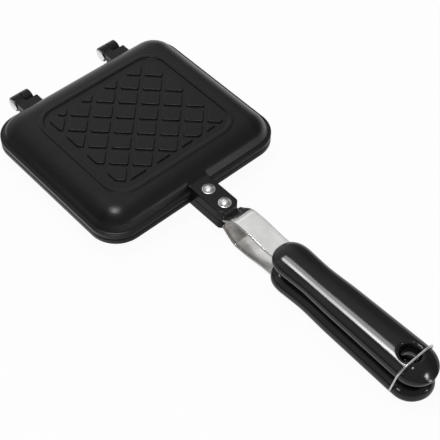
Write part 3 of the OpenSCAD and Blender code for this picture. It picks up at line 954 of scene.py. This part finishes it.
class PIEIRON_OT_rivets(Operator):
    """Build the four rivets with domed heads"""

    bl_idname = "pieiron.rivets"
    bl_label = "Rivets"

    def execute(self, context):
        s = Sizes(context.scene.pieiron_straps)
        r, h, tail, shank, steps = s.rivet_head / 2, s.rivet_height, s.rivet_tail / 2, 2.2, 15
        dome = (r * r + h * h) / (2 * h)
        for name, flipped in HALVES:
            for place in ("_front", "_rear"):
                node = name + place + "_rivet"
                low, high = node_box(node)
                bottom, top = sorted(abs(z - PARTING) for z in (low.z, high.z))
                seat = top - h
                profile = [(TIP, bottom), (tail - 0.7, bottom), (tail - 0.15, bottom + 0.2),
                           (tail, bottom + 0.5), (tail, bottom + 0.9), (shank, bottom + 0.9),
                           (shank, seat - 0.02), (r - 0.15, seat - 0.02), (r, seat + 0.12),
                           (r, seat + 0.3)]
                profile += [(q, top - dome + sqrt(dome * dome - q * q))
                            for q in [(r - 0.08) * (1 - k / steps) for k in range(1, steps)]]
                profile += [(0.2, top - 0.01), (TIP, top - 0.01)]
                shape = Shape()
                shape.lathe(profile, ((low.x + high.x) / 2, 0, 0), upright=True, steps=56)
                finished(shape.object(name + place + "_headed_rivet", flipped, 50.0), "rivet",
                         name, node)
        return {"FINISHED"}


# ---------------- grips and bail


class GripMaker(Sizes):
    """Shape of one grip over the parting plane."""

    # power of the rounded section
    power = 2.25

    def size(self, x):
        """Size at x as a share of the largest."""
        past = x - self.waist_at
        if past < 0:
            return self.waist + 0.08 * (-past / 21) ** 1.3
        return min(1.0, self.waist + (1 - self.waist) * (0.22 * ease(past / 23)
                                                         + 0.78 * past / 71))

    def front(self, x):
        past = max(0.0, self.start + self.nose - x) / (self.nose + 0.2)
        return sqrt(max(0.0, 1 - past ** 2.6))

    def rear(self, x):
        past = max(0.0, x - self.end + self.tail) / (self.tail + 0.3)
        return sqrt(max(0.0, 1 - past ** 2.2))

    def halves(self, x):
        """Half width, height over and depth under the widest line at x."""
        s, n, t = self.size(x), self.front(x), self.rear(x)
        return (self.half_width * s ** 0.85 * n * t + TIP,
                (self.back - self.middle) * s ** 1.15 * n * t ** 2.3 + TIP,
                (self.middle - 1.2) * s ** 0.6 * (n * t) ** 0.6 + TIP)

    def top(self, x, y):
        """Height of the back at a place in the plan."""
        b, over, _ = self.halves(x)
        q = min(1.0, abs(y) / b)
        return self.middle + over * (1 - q ** self.power) ** (1 / self.power)

    def section(self, x):
        """Half of the flat's edge, right side, back, left side and the edge's other half."""
        b, over, under = self.halves(x)
        flat, p = self.gap / 2, 2 / self.power
        over_steps, side_steps = 40, 9

        def at(angle):
            s = signed_pow(sin(angle), p)
            return (b * signed_pow(cos(angle), p),
                    self.middle + (over if s > 0 else under) * s)

        def angle_of(z):
            part = min(1.0, max(0.0, (self.middle - z) / under))
            return asin(part ** (1 / p))

        # the flat face cuts the section, and its edges are rounded
        corner_y = at(-angle_of(flat))[0]
        r = min(self.rounding, corner_y * 0.8)
        a0 = angle_of(flat + r)
        start = at(-a0)
        right = [at(-a0 * (1 - i / side_steps)) for i in range(side_steps)]
        back = [at(pi * i / over_steps) for i in range(over_steps + 1)]
        left = [(-y, z) for y, z in right[::-1]]
        base = flat if under > self.middle - flat else self.middle - under
        bend = []
        for t in (0.25, 0.5, 0.75, 1.0):
            u, v, w = (1 - t) ** 2, 2 * t * (1 - t), t * t
            bend.append((max(u * start[0] + v * corner_y + w * (corner_y - r), 0.0),
                         u * start[1] + v * base + w * base))
        ring = bend[::-1] + right + back + left + [(-y, z) for y, z in bend]
        return [(x, y, z) for y, z in ring]

    def build(self, shape):
        """The grip's skin, with the screw's seat and the hanging hole sewn into it."""
        hole_x, wall, mouth = self.end - self.hole_back, self.hole / 2, self.mouth
        flat = self.gap / 2
        # places of the sections; the window's are those from which the hole is cut
        reach, parts, spacing, nose_steps, rear_steps = 11.5, 12, 2.8, 16, 14
        window = [hole_x - reach + 2 * reach * i / parts for i in range(parts + 1)]
        seat = [self.screw_at + k for k in range(-6, 7)]
        nose = [self.start - 0.2 + (self.nose + 3) * (i / nose_steps) ** 2
                for i in range(nose_steps + 1)]
        nose = [x for x in nose if x < seat[0] - 0.4]
        gaps = round((window[0] - seat[-1]) / spacing)
        body = [seat[-1] + (window[0] - seat[-1]) * k / gaps for k in range(1, gaps)]
        span = self.end + 0.3 - window[-1]
        rear = [window[-1] + span * sin(pi / 2 * i / rear_steps)
                for i in range(1, rear_steps + 1)]
        xs = nose + seat + body + window + rear
        rings = [shape.ring(self.section(x)) for x in xs]
        n = len(rings[0])
        seat_from, seat_to = len(nose), len(nose) + len(seat)
        first = seat_to + len(body)
        last = first + parts
        self.sink(shape, rings[seat_from:seat_to])
        # points of the back between which the hole's window lies
        beside = 11
        j0, j1 = n // 2 - beside, n // 2 + beside
        for k, (a, b) in enumerate(zip(rings, rings[1:])):
            for i in range(n):
                in_window = first <= k < last and (j0 <= i < j1 or i == n - 1)
                in_seat = seat_from <= k < seat_to - 1 and i == n - 1
                if not (in_window or in_seat):
                    j = (i + 1) % n
                    shape.faces.append((a[i], a[j], b[j], b[i]))
        shape.cap(rings[0][::-1])
        shape.cap(rings[-1])
        # rim of the window in order round the hole
        rim = [rings[k][j0] for k in range(first, last + 1)]
        rim += [rings[last][j] for j in range(j0 + 1, j1 + 1)]
        rim += [rings[k][j1] for k in range(last - 1, first - 1, -1)]
        rim += [rings[first][j] for j in range(j1 - 1, j0, -1)]
        start = [shape.points[i] for i in rim]
        angles = [degrees(atan2(y, x - hole_x)) for x, y, _ in start]
        lip = arc(hole_x, 0, wall + mouth, angles)
        lip_heights = [self.top(x, y) for x, y in lip]
        steps = 6
        for k in range(1, steps + 1):
            plan = [on_the_way(p, q, k / steps) for p, q in zip(start, lip)]
            rim = shape.onward(rim, [(x, y, self.top(x, y)) for x, y in plan])
        for t in map(radians, range(15, 91, 15)):
            plan = arc(hole_x, 0, wall + mouth * (1 - sin(t)), angles)
            rim = shape.onward(rim, [
                (x, y, min(self.top(x, y), height + 0.25) - mouth * (1 - cos(t)))
                for (x, y), height in zip(plan, lip_heights)])
        # the hole's wall, its lower edge and the flat face round it
        rim = shape.neck(rim, hole_x, angles, ((wall, flat + 4), (wall, flat + 0.4),
                                               (wall + 0.12, flat + 0.12), (wall + 0.4, flat)))
        outline = []
        for x, y, _ in start:
            k = min(range(first, last + 1), key=lambda m: abs(xs[m] - x))
            limit = shape.points[rings[k][0]][1]
            outline.append((x, limit * max(-1.0, min(1.0, y / abs(start[0][1]))), flat))
        shape.onward(rim, outline)

    def sink(self, shape, rings):
        """The screw's seat in the flat face, in the strip that is left open for it."""
        rim = [r[0] for r in rings] + [r[-1] for r in rings[::-1]]
        angles = [degrees(atan2(y, x - self.screw_at))
                  for x, y, _ in [shape.points[i] for i in rim]]
        wall, flat = self.screw_seat / 2, self.gap / 2
        shape.cap(shape.neck(rim, self.screw_at, angles, (
            (wall + 0.3, flat), (wall + 0.08, flat + 0.1), (wall, flat + 0.35),
            (wall, self.seat_top))))


class PIEIRON_OT_grips(Operator):
    """Build the two moulded grips with their hanging hole"""

    bl_idname = "pieiron.grips"
    bl_label = "Grips"

    def execute(self, context):
        shape = Shape()
        GripMaker(context.scene.pieiron_grips).build(shape)
        for name, flipped in HALVES:
            finished(shape.object(name + "_moulded_grip", flipped, 50.0), "grip_plastic", name,
                     name + "_grip")
        return {"FINISHED"}


class PIEIRON_OT_screws(Operator):
    """Give the grip screws their bright finish"""

    bl_idname = "pieiron.screws"
    bl_label = "Grip screws"

    def execute(self, context):
        for name, _ in HALVES:
            painted(frame["nodes"][name + "_grip_screw"], "grip_screw")
        return {"FINISHED"}


class PIEIRON_OT_bail(Operator):
    """Build the wire bail that holds the grips together"""

    bl_idname = "pieiron.bail"
    bl_label = "Wire bail"

    def execute(self, context):
        s = Sizes(context.scene.pieiron_bail)
        leg, bend, tip_bend = s.leg, s.bend, s.tip_bend
        reach, lean = hypot(s.rise, s.lean), atan2(s.lean, s.rise)
        # the wire's middle line from a tip, up a leg and to the middle of the top bar
        half = [(s.tip, 0.0), (s.tip + 1.5, 0.0), (leg - tip_bend - 0.4, 0.0)]
        half += arc(leg - tip_bend, tip_bend, tip_bend, range(-90, 1, 15))
        half += [(leg, tip_bend + (reach - bend - tip_bend) * k / 6) for k in range(1, 6)]
        half += arc(leg - bend, reach - bend, bend, range(0, 91, 10))
        half += [((leg - bend) * (1 - k / 5), reach) for k in range(1, 5)]
        path = half + [(0.0, reach)] + [(-y, h) for y, h in half[::-1]]
        sections = []
        for i, (y, h) in enumerate(path):
            (ay, ah), (by, bh) = path[max(i - 1, 0)], path[min(i + 1, len(path) - 1)]
            d = hypot(by - ay, bh - ah)
            ring = []
            for u, v in arc(0, 0, s.wire / 2, turn(16)):
                up = h + v * (by - ay) / d
                ring.append((PIVOT.x + u * cos(lean) + up * sin(lean),
                             y - v * (bh - ah) / d,
                             PIVOT.z - PARTING - u * sin(lean) + up * cos(lean)))
            sections.append(ring)
        shape = Shape()
        shape.loft(sections)
        finished(shape.object("bent_bail", sharp=60.0), "bail_wire", "bail", "wire_bail")
        return {"FINISHED"}


# ---------------- finishes and stage


class PIEIRON_OT_finishes(Operator):
    """Make the finishes of every piece"""

    bl_idname = "pieiron.finishes"
    bl_label = "Finishes"

    def execute(self, context):
        c = context.scene.pieiron_finish
        coated_pan_finish(tuple(c.coating))
        plastic_finish(tuple(c.plastic))
        strap_finish(tuple(c.strap))
        bright_finish("rivet", tuple(c.rivet), 0.32, 0.000008)
        bright_finish("hinge_pin", tuple(c.pin), 0.27, 0.000010)
        bright_finish("grip_screw", tuple(c.rivet), 0.28, 0.000012)
        wire_finish(tuple(c.wire))
        return {"FINISHED"}


# Each lamp: name, place, aim, width and depth, its power's key, and the pieces that it lights
GRIP_MIDDLE = (0.25, 0.0, 0.03)
LAMPS = (
    ("Key lamp", (-0.40, -0.10, 1.2), (-0.40, -0.10, 0.0), (0.60, 0.27), "key", "glossy_pieces"),
    ("Glow lamp", (-0.38, 0.17, 1.2), (-0.38, 0.17, 0.0), (0.56, 0.27), "glow", "glossy_pieces"),
    ("Side lamp", (-0.32, -0.82, 0.75), (0.18, 0.0, 0.03), (1.0, 0.9), "side", "glossy_pieces"),
    ("Right lamp", (1.2, 0.46, 0.58), GRIP_MIDDLE, (0.13, 0.13), "ends", "glossy_pieces"),
    ("Left lamp", (0.08, -1.05, 0.6), GRIP_MIDDLE, (0.13, 0.13), "ends", "glossy_pieces"),
    ("End lamp", (0.49, 0.05, 1.2), GRIP_MIDDLE, (0.13, 0.13), "ends", "glossy_pieces"),
    ("Steel lamp", (-0.75, 0.6, 1.0), (-0.75, 0.6, 0.0), (1.7, 1.0), "steel", "bright_pieces"),
    ("Low lamp", (0.68, 0.27, 0.09), (0.065, -0.03, 0.022), (0.12, 0.06), "low", "coated_pieces"),
    ("Top lamp", (-0.03, -0.13, 1.2), (0.05, -0.06, 0.02), (0.36, 0.36), "fill", None),
)

# The photo's camera, fitted to the part: angles in radians, then millimetres, then pixels
AZIMUTH, ELEVATION, ROLL = 0.8208861, 0.8819163, 0.0202484
DISTANCE, TO_THE_RIGHT, DOWN = 764.686546, 56.434937, 44.564882
FOCAL_LENGTH, PICTURE_WIDTH = 1137.5951, 440
SENSOR = 36.0
FLOOR_REACH = 6


class PIEIRON_OT_stage(Operator):
    """Set up the floor, the lamps, the world and the camera"""

    bl_idname = "pieiron.stage"
    bl_label = "Stage"

    def execute(self, context):
        scene = context.scene
        studio = scene.pieiron_studio
        self.floor(scene, tuple(scene.pieiron_finish.floor))
        self.world(scene, studio.sky)
        lit = {group: bpy.data.collections.new(group) for group in
               ("glossy_pieces", "bright_pieces", "coated_pieces")}
        for name, place, aim, size, power, group in LAMPS:
            lamp = self.lamp(scene, name, place, aim, size, getattr(studio, power))
            if group:
                lamp.light_linking.receiver_collection = lit[group]
        self.camera(scene)
        scene.view_settings.view_transform = "Standard"
        return {"FINISHED"}

    def floor(self, scene, colour):
        mesh = bpy.data.meshes.new("studio_floor")
        mesh.from_pydata([(-FLOOR_REACH * x, -FLOOR_REACH * y, 0) for x, y in CORNERS], [],
                         [(0, 1, 2, 3)])
        made = bpy.data.objects.new("studio_floor", mesh)
        scene.collection.objects.link(made)
        mesh.materials.append(floor_finish(colour))

    def world(self, scene, strength):
        """White to the camera. In gloss, a room that is lightest behind the hinges."""
        world = bpy.data.worlds.new("studio_world")
        scene.world = world
        world.use_nodes = True
        w = Nodes(world.node_tree)
        x, y, z = w.parts(w.node("ShaderNodeTexCoord", output="Generated"))
        hinges = y * 0.45 - x * 0.9
        room = 0.11 + hinges.between(0.08, 0.42) * 0.27 + hinges.between(0.62, 0.88) * 0.25
        dim = (x * -0.45 - y * 0.9).between(0.3, 0.75)
        room = room + x.between(-0.25, 0.2) * 0.14
        room = room * (1.0 - y.between(0.45, 0.7) * 0.65)
        horizon = abs(z).between(0.2, 0.02) * (1.0 - dim)
        room = room + (0.9 - room) * horizon
        seen, glossy, through = w.rays()
        level = (seen + (glossy + through).clamped() * room
                 + (1.0 - (seen + glossy + through).clamped()) * strength)
        sky = w.node("ShaderNodeBackground", None,
                     {"Color": (1.0, 1.0, 1.0, 1.0), "Strength": level.clamped()})
        w.node("ShaderNodeOutputWorld", None, {"Surface": sky})

    def lamp(self, scene, name, place, aim, size, power):
        light = bpy.data.lights.new(name, "AREA")
        light.shape = "RECTANGLE"
        light.size, light.size_y = size
        light.energy = power
        made = bpy.data.objects.new(name, light)
        made.location = place
        made.rotation_mode = "QUATERNION"
        made.rotation_quaternion = (Vector(aim) - Vector(place)).to_track_quat("-Z", "Y")
        scene.collection.objects.link(made)
        return made

    def camera(self, scene):
        back = Vector((sin(AZIMUTH) * cos(ELEVATION),
                       -cos(AZIMUTH) * cos(ELEVATION), sin(ELEVATION)))
        right = Vector((cos(AZIMUTH), sin(AZIMUTH), 0.0))
        up = back.cross(right)
        across = right * cos(ROLL) + up * sin(ROLL)
        upright = up * cos(ROLL) - right * sin(ROLL)
        place = (back * DISTANCE + right * TO_THE_RIGHT - up * DOWN) * MM
        data = bpy.data.cameras.new("studio_camera")
        data.sensor_width = SENSOR
        data.lens = SENSOR * FOCAL_LENGTH / PICTURE_WIDTH
        data.clip_start, data.clip_end = 0.01, 50.0
        made = bpy.data.objects.new("studio_camera", data)
        made.matrix_world = Matrix.Translation(place) @ Matrix(
            (across, upright, back)).transposed().to_4x4()
        scene.collection.objects.link(made)
        scene.camera = made


# ---------------- the add-on


OPERATORS = (PIEIRON_OT_stage, PIEIRON_OT_finishes, PIEIRON_OT_pans, PIEIRON_OT_pins,
             PIEIRON_OT_straps, PIEIRON_OT_rivets, PIEIRON_OT_grips, PIEIRON_OT_screws,
             PIEIRON_OT_bail)

GROUPS = (("pieiron_pans", PieIronPans), ("pieiron_hinges", PieIronHinges),
          ("pieiron_straps", PieIronStraps), ("pieiron_grips", PieIronGrips),
          ("pieiron_bail", PieIronBail), ("pieiron_finish", PieIronFinish),
          ("pieiron_studio", PieIronStudio))


class PIEIRON_PT_sidebar(Panel):
    """Lists the pieces of the pie iron with their sizes"""

    bl_idname = "PIEIRON_PT_sidebar"
    bl_label = "Pie iron"
    bl_space_type = "VIEW_3D"
    bl_region_type = "UI"
    bl_category = "Pie iron"

    def draw(self, context):
        layout = self.layout
        for operator in OPERATORS:
            layout.operator(operator.bl_idname)
        for name, group in GROUPS:
            box = layout.box()
            box.label(text=group.__doc__)
            for key in group.__annotations__:
                box.prop(getattr(context.scene, name), key)


def register():
    for name, group in GROUPS:
        bpy.utils.register_class(group)
        setattr(bpy.types.Scene, name, PointerProperty(type=group))
    for operator in OPERATORS:
        bpy.utils.register_class(operator)
    bpy.utils.register_class(PIEIRON_PT_sidebar)


def unregister():
    bpy.utils.unregister_class(PIEIRON_PT_sidebar)
    for operator in reversed(OPERATORS):
        bpy.utils.unregister_class(operator)
    for name, group in reversed(GROUPS):
        delattr(bpy.types.Scene, name)
        bpy.utils.unregister_class(group)


def main():
    register()
    for operator in OPERATORS:
        group, name = operator.bl_idname.split(".")
        getattr(getattr(bpy.ops, group), name)()


if __name__ == "__main__":
    main()
